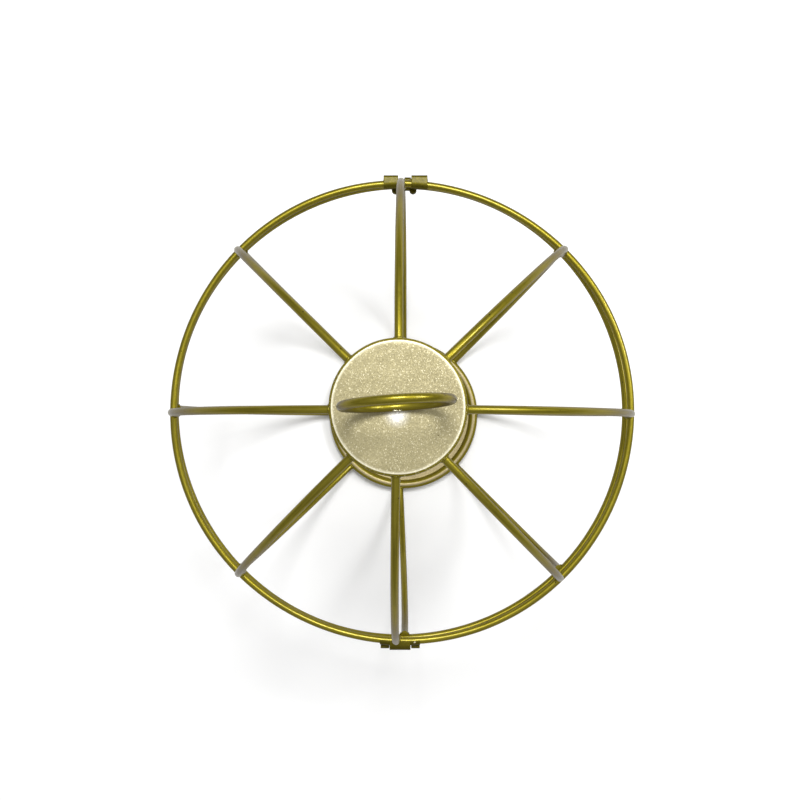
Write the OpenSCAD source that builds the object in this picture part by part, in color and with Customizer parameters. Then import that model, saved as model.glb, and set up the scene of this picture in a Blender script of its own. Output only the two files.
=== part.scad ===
// Hinged wire orb: two half cages of round wire that close at the equator.
// The lower half stands on a dish. The upper half carries a cap and a hanging loop,
// swings open on a pin hinge at +Y and is held shut by a tongue latch at -Y.
// Origin: centre of the dish's underside. +Z is up.

/* [Wire] */
// Diameter of the wire in the rings, the ribs and the hanging loop
wire_d = 3; // [2.5:0.1:3.2]

/* [Cage] */
// Radius of each equator ring, to the middle of its wire
ring_r = 96; // [85:0.5:110]
// Height from the equator to the middle of either ring's wire
ring_rise = 2.75; // [2.7:0.05:3.2]
// How far the middle of the ribs stands inside the middle of the rings
rib_inset = 1.2; // [1:0.1:1.6]
// Sideways play of the upper half in its hinge
play_x = 0.7; // [0:0.1:0.8]
// Distance that the upper half sits back from the hinge
play_y = 0.4; // [0:0.1:0.4]

/* [Cap] */
// Outer radius of the cap
cap_r = 23.1; // [20:0.1:30]
// Thickness of the cap's sheet
cap_t = 0.8; // [0.6:0.1:1.2]
// Depth of the cap from its top to the edge of its skirt
cap_h = 7; // [6:0.5:12]
// Radius of the cap's rounded top edge
cap_edge_r = 1.2; // [1.2:0.1:2]
// Height of the cap's top above the middle of the rib ends
cap_lift = 2.6; // [2.4:0.1:3]

/* [Dish] */
// Outer radius of the dish, over its rolled rim
dish_r = 37.5; // [32:0.5:45]
// Thickness of the dish's sheet
dish_t = 1; // [0.8:0.1:1.2]
// Diameter of the rolled rim
rim_d = 4; // [3.6:0.1:5]
// Height of the middle of the rolled rim above the table
rim_z = 4; // [3.5:0.1:6]

/* [Hanging loop] */
// Outer diameter of the loop
loop_d = 37.8; // [30:0.2:50]
// Turn of the loop about the vertical
loop_turn = 3.8; // [0:0.1:10]
// Lean of the loop towards the hinge
loop_lean = 2.6; // [0:0.1:5]
// Gap between the butted ends of the loop
loop_gap = 0.6; // [0.3:0.1:1]

/* [Hinge] */
// Diameter of the hinge pin
pin_d = 1.6; // [1.4:0.1:1.6]
// Distance of the pin outside the middle of the upper ring
pin_out = 1.95; // [1.95:0.05:2.2]
// Thickness of the hinge leaves and the latch sheet
leaf_t = 0.5; // [0.4:0.05:0.5]
// Radial clearance of the pin in the middle knuckle
pin_clear = 0.05; // [0.02:0.01:0.08]

/* [Latch] */
// Width of the latch along the ring
latch_w = 16.5; // [14:0.5:20]
// Width of the latch tongue
tongue_w = 8.7; // [6:0.1:10]
// Clearance between the tongue and each cheek
cheek_gap = 0.3; // [0.3:0.05:0.5]

/* [Hidden] */
$fn = 96;
rib_count = 8;
wire_r = wire_d / 2;
rib_r = ring_r - rib_inset;

// Hand-set errors of the ribs in degrees, from +X: where each lands on its ring,
// and how far it swings off the radius towards the cap or the dish.
upper_turn = [-0.6, -0.2, 0.1, 0.4, 0.3, -0.2, -1.4, -1.4];
upper_swing = [0.4, -0.1, 0.2, -0.2, -0.5, -0.5, 0.2, 0.5];
lower_turn = [-0.2, 0.2, -0.3, -0.2, -0.7, -0.5, 1, 0.2];
lower_swing = [-1.9, -0.9, -0.1, 1, 0.5, 0.1, 2.3, -0.3];
// The ribs over the hinge and over the latch
hinge_rib = 2;
latch_rib = 6;
// How far a rib runs past the middle of its ring, and the room that clamped sheet leaves it
rib_end = 1;
rib_slack = 0.2;
rib_low = asin((ring_rise - rib_end) / rib_r);

// Heights above the table
equator_z = rim_z + sqrt(rib_r * rib_r - dish_r * dish_r);
cap_top = sqrt(rib_r * rib_r - cap_r * cap_r) + cap_lift;

// How high up their arc the ribs run, before they are coped on the cap and on the dish
cap_end = acos((cap_r - wire_d) / rib_r);
dish_end = acos((dish_r - rim_d / 2) / rib_r);

// Dish and loop
rim_r = rim_d / 2;
dish_wall_r = dish_r - rim_d;
dish_corner_r = 1.6;
loop_r = (loop_d - wire_d) / 2;
loop_sink = 0.3;
loop_gap_angle = -86.4;

// Hinge leaves, seen along X with the pin at the origin
pin_r = pin_d / 2;
curl_r = pin_r + pin_clear + leaf_t;
sleeve_r = wire_r + leaf_t;
leaf_corner_r = 1.2;
head_r = 1.15;
head_t = 0.4;
strap_left = [-7.6, -1.75];
strap_right = [3.95, 10.4];
knuckle = [0.95, 3.65];
grip = [-4.5, 6];
grip_in = 1.1;
grip_proud = 0.1;
ear_r = 1.5;
ear_h = 2.4;

// Latch, seen along X, outwards from the middle of the ring
latch_mid = -0.9;
tongue_t = 0.6;
tongue_out = 3.9;
tongue_bend_r = 2.4;
plate_in = 0.6;
bend_z = ring_rise + sleeve_r - tongue_bend_r;
tongue_tip = -3.4;
cheek_out = 3.8;
cheek_in = 2.4;
cheek_top = 0.4;
cheek_edge_r = 0.6;
dimple_r = 1.6;
dimple_d = 0.6;

// A little more than nothing, to cut right through a face
eps = 0.01;

// ---- places ----

module at_equator() { translate([0, 0, equator_z]) children(); }

// The upper half's own axis, at the equator
module at_upper() { translate([play_x, -play_y, equator_z]) children(); }

// The hinge pin's axis
module at_pin() { at_upper() translate([0, ring_r + pin_out, 0]) children(); }

// A span between two values, moved by d
function moved(span, d) = [span[0] + d, span[1] + d];

// Extrudes an outline of Y and Z along X, between two values of X
module along_x(span) {
    translate([span[0], 0, 0])
        rotate([90, 0, 90])
            linear_extrude(span[1] - span[0])
                children();
}

// ---- wire ----

module wire_ring() {
    rotate_extrude()
        translate([ring_r, 0])
            circle(r = wire_r);
}

// The rib circle's wire, from its end at a ring up to some elevation. It is turned about the orb's
// axis, then swung about its end at the ring.
module rib_wire(turn, swing, high) {
    rotate([0, 0, turn])
        translate([rib_r, 0, 0])
            rotate([0, 0, swing])
                translate([-rib_r, 0, 0])
                    rotate([90, 0, 0])
                        rotate([0, 0, rib_low])
                            rotate_extrude(angle = high - rib_low)
                                translate([rib_r, 0])
                                    circle(r = wire_r);
}

// Room for a rib in the sheet that is clamped round its ring
module rib_slot(turn) {
    rotate([0, 0, turn])
        translate([rib_r, 0, ring_rise - rib_end - rib_slack])
            cylinder(r = wire_r + rib_slack, h = 2 * sleeve_r);
}

// One rib of the upper half: it runs down inside the ring and butts on the cap's skirt
module upper_rib(i) {
    color("darkgoldenrod")
        at_upper()
            difference() {
                rib_wire(i * 360 / rib_count + upper_turn[i], upper_swing[i], cap_end);
                translate([0, 0, ring_rise]) wire_ring();
                translate([0, 0, cap_top - 2 * cap_h]) cylinder(r = cap_r, h = 2 * cap_h);
            }
}

// One rib of the lower half: it runs up inside the ring and butts on the dish's rim
module lower_rib(i) {
    color("darkgoldenrod")
        difference() {
            at_equator()
                difference() {
                    mirror([0, 0, 1])
                        rib_wire(i * 360 / rib_count + lower_turn[i], lower_swing[i], dish_end);
                    translate([0, 0, -ring_rise]) wire_ring();
                }
            dish_rim();
        }
}

module upper_ring() {
    color("goldenrod") at_upper() translate([0, 0, ring_rise]) wire_ring();
}

module lower_ring() {
    color("goldenrod") at_equator() translate([0, 0, -ring_rise]) wire_ring();
}

// ---- cap, loop and dish ----

// A quarter of a cup's outline, closed at the top with a rounded edge
module cup_outline(r, h, edge) {
    square([r - edge, h]);
    square([r, h - edge]);
    translate([r - edge, h - edge]) circle(r = edge);
}

module top_cap() {
    color("khaki")
        at_upper()
            translate([0, 0, cap_top - cap_h])
                rotate_extrude()
                    intersection() {
                        difference() {
                            cup_outline(cap_r, cap_h, cap_edge_r);
                            translate([0, -eps])
                                cup_outline(cap_r - cap_t, cap_h - cap_t + eps, cap_edge_r - cap_t);
                        }
                        square([cap_r, cap_h]);
                    }
}

// The loop stands on a small flat, ground on its foot beside the butted ends
module hanging_loop() {
    color("goldenrod")
        at_upper()
            translate([0, 0, cap_top])
                difference() {
                    rotate([0, 0, loop_turn])
                        rotate([90 - loop_lean, 0, 0])
                            translate([0, loop_d / 2 - loop_sink, 0])
                                rotate([0, 0, loop_gap_angle + asin(loop_gap / 2 / loop_r)])
                                    rotate_extrude(angle = 360 - 2 * asin(loop_gap / 2 / loop_r))
                                        translate([loop_r, 0])
                                            circle(r = wire_r);
                    translate([-loop_d, -loop_d, -loop_d]) cube([2 * loop_d, 2 * loop_d, loop_d]);
                }
}

module dish_rim() {
    translate([0, 0, rim_z])
        rotate_extrude()
            translate([dish_r - rim_r, 0])
                circle(r = rim_r);
}

module base_dish() {
    color("khaki") {
        rotate_extrude() {
            difference() {
                union() {
                    square([dish_wall_r + dish_t - dish_corner_r, rim_z]);
                    translate([0, dish_corner_r])
                        square([dish_wall_r + dish_t, rim_z - dish_corner_r]);
                    translate([dish_wall_r + dish_t - dish_corner_r, dish_corner_r])
                        circle(r = dish_corner_r);
                }
                translate([0, dish_t]) square([dish_wall_r, rim_z]);
            }
            translate([dish_r - rim_r, rim_z]) circle(r = rim_r);
        }
    }
}

// ---- hinge ----

// Sheet bent through a quarter turn, about the outline's origin
module quarter_bend(r, t) {
    intersection() {
        difference() {
            circle(r = r);
            circle(r = r - t);
        }
        square(r);
    }
}

// Outline of one leaf: a curl round the pin, a wall up its outer side and a plate over the ring.
// The ring lies ring_in inside the pin's axis.
module leaf_outline(ring_in) {
    top = ring_rise + sleeve_r;
    difference() {
        circle(r = curl_r);
        circle(r = pin_r);
    }
    translate([curl_r - leaf_t, 0]) square([leaf_t, top - leaf_corner_r]);
    translate([curl_r - leaf_corner_r, top - leaf_corner_r]) quarter_bend(leaf_corner_r, leaf_t);
    translate([-ring_in, top - leaf_t]) square([ring_in + curl_r - leaf_corner_r, leaf_t]);
}

// A stretch of the ring near +Y, between two values of X, as thick as a sheet sleeve round it.
// The ring's own wire is cut out of it by whatever uses it.
module ring_sleeve(span) {
    low = asin(span[0] / ring_r);
    high = asin(span[1] / ring_r);
    rotate([0, 0, 90 - high])
        rotate_extrude(angle = high - low)
            translate([ring_r, 0])
                circle(r = sleeve_r);
}

// The grip of the middle leaf: a strip that wraps only the inner side of the ring's wire.
// The square takes the outer side away.
module ring_grip(span) {
    low = asin(span[0] / ring_r);
    high = asin(span[1] / ring_r);
    grip_r = sleeve_r + grip_proud;
    rotate([0, 0, 90 - high])
        rotate_extrude(angle = high - low)
            translate([ring_r, 0])
                difference() {
                    circle(r = grip_r);
                    translate([-grip_in, -grip_r]) square([grip_r + grip_in, 2 * grip_r]);
                }
}

module hinge_strap(span) {
    color("darkkhaki")
        difference() {
            union() {
                at_pin() along_x(span) leaf_outline(pin_out);
                at_upper() translate([0, 0, ring_rise]) ring_sleeve(span);
            }
            at_upper() translate([0, 0, ring_rise]) wire_ring();
        }
}

module hinge_strap_left() { hinge_strap(strap_left); }
module hinge_strap_right() { hinge_strap(strap_right); }

module hinge_knuckle() {
    held = moved(grip, play_x);
    color("darkkhaki")
        difference() {
            union() {
                at_pin() along_x(knuckle) mirror([0, 1]) leaf_outline(pin_out - play_y);
                at_equator()
                    translate([0, 0, -ring_rise]) {
                        ring_sleeve(moved(knuckle, play_x));
                        ring_grip(held);
                        for (x = [held[0] + ear_r, held[1] - ear_r])
                            translate([x, ring_r - sleeve_r, -ear_h / 2]) cylinder(r = ear_r, h = ear_h);
                    }
            }
            at_equator() {
                translate([0, 0, -ring_rise]) wire_ring();
                mirror([0, 0, 1]) rib_slot(hinge_rib * 360 / rib_count + lower_turn[hinge_rib]);
            }
            at_pin() along_x(grip) circle(r = pin_r + pin_clear);
        }
}

module hinge_pin() {
    color("darkgoldenrod")
        at_pin() {
            along_x([strap_left[0] - head_t, strap_right[1] + head_t]) circle(r = pin_r);
            along_x([strap_left[0] - head_t, strap_left[0]]) circle(r = head_r);
            along_x([strap_right[1], strap_right[1] + head_t]) circle(r = head_r);
        }
}

// ---- latch, at -Y ----

module latch_tab() {
    half = latch_w / 2;
    tongue = [latch_mid - tongue_w / 2, latch_mid + tongue_w / 2];
    dimple_y = ring_r + tongue_out - tongue_t - dimple_d + dimple_r;
    color("darkkhaki")
        at_upper()
            difference() {
                mirror([0, 1, 0])
                    union() {
                        translate([0, 0, ring_rise])
                            ring_sleeve([latch_mid - half, latch_mid + half]);
                        translate([0, ring_r, 0])
                            along_x(tongue) {
                                translate([tongue_out - tongue_bend_r, bend_z])
                                    quarter_bend(tongue_bend_r, tongue_t);
                                translate([plate_in, bend_z + tongue_bend_r - tongue_t])
                                    square([tongue_out - tongue_bend_r - plate_in, tongue_t]);
                                translate([tongue_out - tongue_t, tongue_tip])
                                    square([tongue_t, bend_z - tongue_tip]);
                            }
                        translate([latch_mid, dimple_y, -ring_rise / 2])
                            intersection() {
                                sphere(r = dimple_r);
                                translate([-dimple_r, -dimple_r, -dimple_r])
                                    cube([2 * dimple_r, dimple_d + tongue_t / 2, 2 * dimple_r]);
                            }
                    }
                translate([0, 0, ring_rise]) wire_ring();
                rib_slot(latch_rib * 360 / rib_count + upper_turn[latch_rib]);
            }
}

// The sheet of the clip, with the front turned to +Y
module clip_sheet() {
    half = latch_w / 2;
    mid = latch_mid + play_x;
    notch = tongue_w / 2 + cheek_gap;
    floor_z = -ring_rise - sleeve_r;
    translate([0, 0, -ring_rise]) ring_sleeve([mid - half, mid + half]);
    translate([0, ring_r, 0])
        along_x([mid - half, mid + half]) {
            translate([0, floor_z]) square([cheek_in + leaf_t, leaf_t]);
            translate([cheek_in, floor_z]) square([leaf_t, cheek_top - floor_z]);
        }
    for (side = [[mid - half, mid - notch], [mid + notch, mid + half]])
        translate([0, ring_r + play_y, 0])
            along_x(side) {
                translate([cheek_in - play_y, floor_z])
                    square([cheek_out - cheek_in + play_y - cheek_edge_r, cheek_top - floor_z]);
                translate([cheek_in, floor_z + cheek_edge_r])
                    square([cheek_out - cheek_in, cheek_top - floor_z - 2 * cheek_edge_r]);
                for (z = [floor_z + cheek_edge_r, cheek_top - cheek_edge_r])
                    translate([cheek_out - cheek_edge_r, z]) circle(r = cheek_edge_r);
            }
}

module latch_clip() {
    color("darkkhaki")
        at_equator()
            difference() {
                mirror([0, 1, 0]) clip_sheet();
                translate([0, 0, -ring_rise]) wire_ring();
                mirror([0, 0, 1]) rib_slot(latch_rib * 360 / rib_count + lower_turn[latch_rib]);
            }
}

base_dish();
lower_rib(0);  // lower_rib_1
lower_rib(1);  // lower_rib_2
lower_rib(2);  // lower_rib_3
lower_rib(3);  // lower_rib_4
lower_rib(4);  // lower_rib_5
lower_rib(5);  // lower_rib_6
lower_rib(6);  // lower_rib_7
lower_rib(7);  // lower_rib_8
lower_ring();
hinge_knuckle();
latch_clip();
upper_ring();
upper_rib(0);  // upper_rib_1
upper_rib(1);  // upper_rib_2
upper_rib(2);  // upper_rib_3
upper_rib(3);  // upper_rib_4
upper_rib(4);  // upper_rib_5
upper_rib(5);  // upper_rib_6
upper_rib(6);  // upper_rib_7
upper_rib(7);  // upper_rib_8
top_cap();
hanging_loop();
hinge_strap_left();
hinge_strap_right();
hinge_pin();
latch_tab();
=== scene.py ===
"""Finish of a hinged wire orb: its wires, plates, hinge, latch and welds, their paint, and the studio.

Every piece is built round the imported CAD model, in metres, in the CAD model's own frame.
"""

import math
import random
from collections import namedtuple

import bmesh
import bpy
import numpy as np
from mathutils import Matrix, Vector, noise


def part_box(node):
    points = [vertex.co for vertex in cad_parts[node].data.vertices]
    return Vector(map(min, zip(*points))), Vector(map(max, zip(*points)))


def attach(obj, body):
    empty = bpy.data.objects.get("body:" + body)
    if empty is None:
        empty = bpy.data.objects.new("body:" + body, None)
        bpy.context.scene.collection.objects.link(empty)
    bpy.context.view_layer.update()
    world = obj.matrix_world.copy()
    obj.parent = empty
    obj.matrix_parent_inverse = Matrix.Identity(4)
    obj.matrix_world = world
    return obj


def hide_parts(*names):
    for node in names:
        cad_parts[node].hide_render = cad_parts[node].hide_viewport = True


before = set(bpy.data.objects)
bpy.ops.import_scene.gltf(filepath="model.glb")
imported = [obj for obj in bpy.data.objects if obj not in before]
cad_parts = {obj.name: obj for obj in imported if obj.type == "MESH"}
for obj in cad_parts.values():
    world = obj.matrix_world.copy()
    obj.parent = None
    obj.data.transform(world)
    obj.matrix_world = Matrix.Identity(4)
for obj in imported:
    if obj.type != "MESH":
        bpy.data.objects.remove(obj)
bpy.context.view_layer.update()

bl_info = {
    "name": "Wire Orb Finish",
    "version": (1, 0, 0),
    "blender": (4, 5, 0),
    "location": "View3D > Sidebar > Wire Orb",
    "description": "Builds the painted wires, plates, hinge, latch and welds of a hinged wire orb",
    "category": "Object",
}

MM = 0.001
UP = Vector((0, 0, 1))
FULL = 2 * math.pi
LOWER_BODY = "lower_half"
UPPER_BODY = "upper_half"
RIB_COUNT = 8
RIM_RADIUS = 2.0 * MM
HALF = (0.5, 0.5, 0.5)


# ---- what the frame says ----

Ring = namedtuple("Ring", "centre radius wire")
Arc = namedtuple("Arc", "centre out radius low high")


def points_of(node):
    """The CAD node's vertices as an array of rows."""
    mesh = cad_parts[node].data
    flat = np.empty(len(mesh.vertices) * 3, np.float32)
    mesh.vertices.foreach_get("co", flat)
    return flat.reshape(-1, 3).astype(float)


def ring_of(node):
    """A level wire ring's centre, the radius of its centreline and its wire's radius."""
    low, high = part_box(node)
    wire = (high.z - low.z) / 2
    return Ring((low + high) / 2, (high.x - low.x) / 2 - wire, wire)


UPPER = ring_of("upper_ring")
LOWER = ring_of("lower_ring")
EQUATOR = (UPPER.centre.z + LOWER.centre.z) / 2
WIRE = UPPER.wire


def middle_of(values):
    """Halfway between the lowest and the highest value."""
    return (values.min() + values.max()) / 2


def rib_arc(node):
    """The circle that a rib's centreline follows, in its own upright plane."""
    points = points_of(node)
    flat = points[:, :2]
    heading = np.linalg.svd(flat - flat.mean(0), full_matrices=False)[2][0]
    for _ in range(3):
        across = np.array([-heading[1], heading[0]])
        along = flat @ heading
        near = along < along.min() + 3 * WIRE
        far = along > along.max() - 3 * WIRE
        drift = middle_of(flat[far] @ across) - middle_of(flat[near] @ across)
        heading = heading + across * drift / (along.max() - along.min())
        heading /= np.linalg.norm(heading)
    ring_end = flat[np.argmin(abs(points[:, 2] - EQUATOR))]
    if ring_end @ heading < 0:
        heading = -heading
    across = np.array([-heading[1], heading[0]])
    side = middle_of(flat @ across)
    along, height = flat @ heading, points[:, 2]
    terms = np.stack([2 * along, 2 * height, np.ones_like(along)], 1)
    middle_s, middle_z, rest = np.linalg.lstsq(terms, along**2 + height**2, rcond=None)[0]
    radius = math.sqrt(rest + middle_s**2 + middle_z**2)
    angles = np.arctan2(height - middle_z, along - middle_s)
    centre = Vector((*(heading * middle_s + across * side), middle_z))
    return Arc(centre, Vector((*heading, 0)), radius, angles.min(), angles.max())


def on_arc(arc, angle):
    """The point of a rib's centreline at that elevation."""
    return arc.centre + arc.radius * (math.cos(angle) * arc.out + math.sin(angle) * UP)


def tangent(arc, angle):
    """Unit direction along a rib's centreline at that elevation, towards greater elevations."""
    return -math.sin(angle) * arc.out + math.cos(angle) * UP


def rib_names(half):
    """The names of one half's rib nodes."""
    return [f"{half}_rib_{i}" for i in range(1, RIB_COUNT + 1)]


def radius_of(node):
    """Half of a round node's width."""
    low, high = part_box(node)
    return (high.x - low.x) / 2


def sag_of(ring, x):
    """How far a ring's centreline has curved back at that X from its foremost point."""
    return ring.radius - math.sqrt(ring.radius**2 - (x - ring.centre.x) ** 2)


CAP_LOW, CAP_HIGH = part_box("top_cap")
CAP_MIDDLE = (CAP_LOW + CAP_HIGH) / 2
CAP_RADIUS = radius_of("top_cap")
DISH_LOW, DISH_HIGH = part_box("base_dish")
DISH_RADIUS = radius_of("base_dish")
PIN_LOW, PIN_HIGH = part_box("hinge_pin")
PIN = (PIN_LOW + PIN_HIGH) / 2


# ---- what a user would change ----


def length(name, description, default, **limits):
    """A length property in metres."""
    settings = {"unit": "LENGTH", "subtype": "DISTANCE", "precision": 5, **limits}
    return bpy.props.FloatProperty(name=name, description=description, default=default, **settings)


def colour(name, description, default):
    """A paint colour property."""
    return bpy.props.FloatVectorProperty(
        name=name, description=description, default=default, size=3, subtype="COLOR", min=0, max=1
    )


class WireOrbSizes(bpy.types.PropertyGroup):
    """Sizes of the finish that the CAD model doesn't settle."""

    wire_sides: bpy.props.IntProperty(
        name="Wire sides", description="Faces round a wire", default=24, min=8, max=48
    )
    rib_steps: bpy.props.IntProperty(name="Rib steps", description="Steps along a rib", default=96, min=24)
    waviness: length("Waviness", "How far a hand-bent rib strays from its arc", 0.12 * MM, min=0)
    weld: length("Weld", "Radius of a weld bead", 0.55 * MM, min=0.2 * MM)
    sheet: length("Sheet thickness", "Thickness of the hinge leaves and the latch", 0.5 * MM, min=0.2 * MM)
    pin_radius: length("Pin radius", "Radius of the hinge pin", 0.8 * MM, min=0.4 * MM)
    plate: length("Plate thickness", "Thickness of the cap's sheet", 0.8 * MM, min=0.4 * MM)
    edge: length("Edge rounding", "Rounding of cut sheet edges", 0.09 * MM, min=0)


class WireOrbColours(bpy.types.PropertyGroup):
    """Colours of the paint, in linear light."""

    wire: colour("Wire", "Gold paint on the wires", (0.25, 0.205, 0.009))
    # Plate and dish tones show only where faces look up: the gold paint drawn lit from overhead, painted
    # light. The flake colour also paints the cap's edge highlight.
    plate: colour("Plate", "Champagne paint on the cap", (0.45, 0.40, 0.235))
    dish: colour("Dish", "Tan paint inside the dish", (0.45, 0.375, 0.21))
    leaf: colour("Leaf", "Gold paint on the hinge and latch sheet", (0.115, 0.096, 0.006))
    flake: colour("Flake", "Bright metal flakes in the plates' paint", (0.95, 0.90, 0.70))
    shine: colour("Shine", "Bright metal flakes in the wires' and leaves' paint", (0.55, 0.47, 0.05))
    # The solder also makes two bright slivers on the loop's wire, a painted highlight.
    solder: colour("Solder", "Bare solder on the loop's foot and the latch", (0.62, 0.58, 0.42))
    dark: colour("Recess", "Paint in recesses, at welds and in pits", (0.06, 0.046, 0.002))
    floor: colour("Floor", "Studio floor", (0.95, 0.95, 0.95))


# ---- meshes ----


def new_object(name, data):
    """Links an object that holds the data, at the origin."""
    made = bpy.data.objects.new(name, data)
    bpy.context.scene.collection.objects.link(made)
    return made


def mesh_from(name, verts, faces):
    """A smooth mesh with its normals pointing out of the closed shape."""
    mesh = bpy.data.meshes.new(name)
    mesh.from_pydata([tuple(v) for v in verts], [], faces)
    bm = bmesh.new()
    bm.from_mesh(mesh)
    bmesh.ops.recalc_face_normals(bm, faces=bm.faces)
    bm.to_mesh(mesh)
    bm.free()
    for face in mesh.polygons:
        face.use_smooth = True
    return mesh


def settle(made):
    """Turns an object's evaluated shape into its own plain mesh and removes its modifiers."""
    graph = bpy.context.evaluated_depsgraph_get()
    mesh = bpy.data.meshes.new_from_object(
        made.evaluated_get(graph), preserve_all_data_layers=True, depsgraph=graph
    )
    mesh.name = made.name
    made.modifiers.clear()
    made.data = mesh
    return made


def round_edges(made, width):
    """Rounds the sharp edges of a piece."""
    bevel = made.modifiers.new("round", "BEVEL")
    bevel.width = width
    bevel.segments = 2
    bevel.limit_method = "ANGLE"
    bevel.angle_limit = math.radians(35)
    bevel.use_clamp_overlap = True
    bevel.harden_normals = False
    return settle(made)


def sharpen(mesh, angle=60):
    """Marks the edges of a smooth mesh that turn by more than the angle as sharp."""
    bm = bmesh.new()
    bm.from_mesh(mesh)
    for edge in bm.edges:
        if len(edge.link_faces) == 2 and edge.calc_face_angle(0) > math.radians(angle):
            edge.smooth = False
    bm.to_mesh(mesh)
    bm.free()


def arc_2d(centre, radius, start, end, step=10):
    """Points on a circle between two angles in degrees."""
    count = max(2, round(abs(end - start) / step) + 1)
    turns = (math.radians(start + (end - start) * i / (count - 1)) for i in range(count))
    return [(centre[0] + radius * math.cos(a), centre[1] + radius * math.sin(a)) for a in turns]


def line_2d(start, end, step):
    """Points along a straight line, without its two ends."""
    count = max(1, round(math.dist(start, end) / step))
    return [
        (start[0] + (end[0] - start[0]) * i / count, start[1] + (end[1] - start[1]) * i / count)
        for i in range(1, count)
    ]


def normals_2d(path):
    """Unit normals of an open path, to its left."""
    made = []
    for i in range(len(path)):
        before, after = path[max(i - 1, 0)], path[min(i + 1, len(path) - 1)]
        dx, dy = after[0] - before[0], after[1] - before[1]
        size = math.hypot(dx, dy)
        made.append((-dy / size, dx / size))
    return made


def sheet_outline(path, thickness):
    """The two faces of a sheet whose middle line is the path: the one to its left and the other."""
    normals = normals_2d(path)
    return [
        [(p[0] + off * n[0], p[1] + off * n[1]) for p, n in zip(path, normals)]
        for off in (thickness / 2, -thickness / 2)
    ]


def lathe(name, outline, centre, steps):
    """Turns a closed outline of (radius, height) about the upright axis through the centre.
    Points on the axis become one pole each."""
    verts, rows = [], []
    for radius, height in outline:
        if radius < 1e-7:
            rows.append([len(verts)] * steps)
            verts.append((centre[0], centre[1], height))
            continue
        rows.append(list(range(len(verts), len(verts) + steps)))
        for i in range(steps):
            turn = FULL * i / steps
            spot = (centre[0] + radius * math.cos(turn), centre[1] + radius * math.sin(turn), height)
            verts.append(spot)
    faces = []
    for k in range(len(rows)):
        low, high = rows[k], rows[(k + 1) % len(rows)]
        for i in range(steps):
            j = (i + 1) % steps
            face = list(dict.fromkeys((low[i], low[j], high[j], high[i])))
            if len(face) > 2:
                faces.append(face)
    return mesh_from(name, verts, faces)


def sheet_strip(name, path, thickness, span, place, step=0.35 * MM):
    """A bent sheet strip: the path is its middle line, seen from the side, and it runs between two
    values of X. place(x, point, i) puts the path's point i, seen from the side, on the object."""
    count = max(2, round((span[1] - span[0]) / step) + 1)
    across = [span[0] + (span[1] - span[0]) * k / (count - 1) for k in range(count)]
    verts = []
    for shifted in sheet_outline(path, thickness):
        for i, point in enumerate(shifted):
            verts += [place(x, point, i) for x in across]
    rows = len(path)

    def at(side, i, k):
        return (side * rows + i) * count + k

    faces = []
    for i in range(rows - 1):
        for k in range(count - 1):
            faces.append((at(0, i, k), at(0, i, k + 1), at(0, i + 1, k + 1), at(0, i + 1, k)))
            faces.append((at(1, i, k), at(1, i + 1, k), at(1, i + 1, k + 1), at(1, i, k + 1)))
    for i in range(rows - 1):
        for k in (0, count - 1):
            faces.append((at(0, i, k), at(0, i + 1, k), at(1, i + 1, k), at(1, i, k)))
    for k in range(count - 1):
        for i in (0, rows - 1):
            faces.append((at(0, i, k), at(0, i, k + 1), at(1, i, k + 1), at(1, i, k)))
    return mesh_from(name, verts, faces)


def joined(name, meshes):
    """One mesh of several, each still a closed shell."""
    bm = bmesh.new()
    for mesh in meshes:
        bm.from_mesh(mesh)
        bpy.data.meshes.remove(mesh)
    made = bpy.data.meshes.new(name)
    bm.to_mesh(made)
    bm.free()
    for face in made.polygons:
        face.use_smooth = True
    return made


# ---- node trees ----


def add_node(tree, kind, inputs=(), **settings):
    """Adds a node, sets its settings and fills its inputs. A socket as a value is linked."""
    made = tree.nodes.new(kind)
    for key, value in settings.items():
        setattr(made, key, value)
    for key, value in dict(inputs).items():
        if isinstance(value, bpy.types.NodeSocket):
            tree.links.new(value, made.inputs[key])
        else:
            made.inputs[key].default_value = value
    return made


def read_point(tree, label, kind="FLOAT"):
    """An attribute of the points, by its name."""
    return add_node(tree, "GeometryNodeInputNamedAttribute", {"Name": label}, data_type=kind).outputs[0]


def keep_point(tree, geometry, label, value, kind="FLOAT_VECTOR"):
    """The geometry with a value stored on its points."""
    inputs = {"Geometry": geometry, "Name": label, "Value": value}
    made = add_node(tree, "GeometryNodeStoreNamedAttribute", inputs, data_type=kind, domain="POINT")
    return made.outputs[0]


def math_of(tree, operation, first, second):
    """A Math node's result."""
    return add_node(tree, "ShaderNodeMath", {0: first, 1: second}, operation=operation).outputs[0]


def vector_of(tree, operation, first, second=None):
    """A Vector Math node's result. What a vector is scaled by is a number."""
    inputs = {0: first}
    if second is not None:
        inputs["Scale" if operation == "SCALE" else 1] = second
    made = add_node(tree, "ShaderNodeVectorMath", inputs, operation=operation)
    return made.outputs["Value" if operation == "DISTANCE" else "Vector"]


def stray_of(tree, given, scale, detail, reach):
    """A noise offset of up to half the reach to either side, from the tree's own seed."""
    inputs = {"W": given["Seed"], "Scale": scale, "Detail": detail}
    wave = add_node(tree, "ShaderNodeTexNoise", inputs, noise_dimensions="4D")
    return vector_of(tree, "SCALE", vector_of(tree, "SUBTRACT", wave.outputs["Color"], HALF), reach)


def new_tree(name, inputs):
    """A Geometry Nodes tree with a geometry in and out and the named inputs, and its input sockets."""
    tree = bpy.data.node_groups.new(name, "GeometryNodeTree")
    tree.interface.new_socket("Geometry", in_out="INPUT", socket_type="NodeSocketGeometry")
    for label, kind in inputs.items():
        tree.interface.new_socket(label, in_out="INPUT", socket_type="NodeSocket" + kind)
    tree.interface.new_socket("Geometry", in_out="OUTPUT", socket_type="NodeSocketGeometry")
    return tree, tree.nodes.new("NodeGroupInput").outputs


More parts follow.
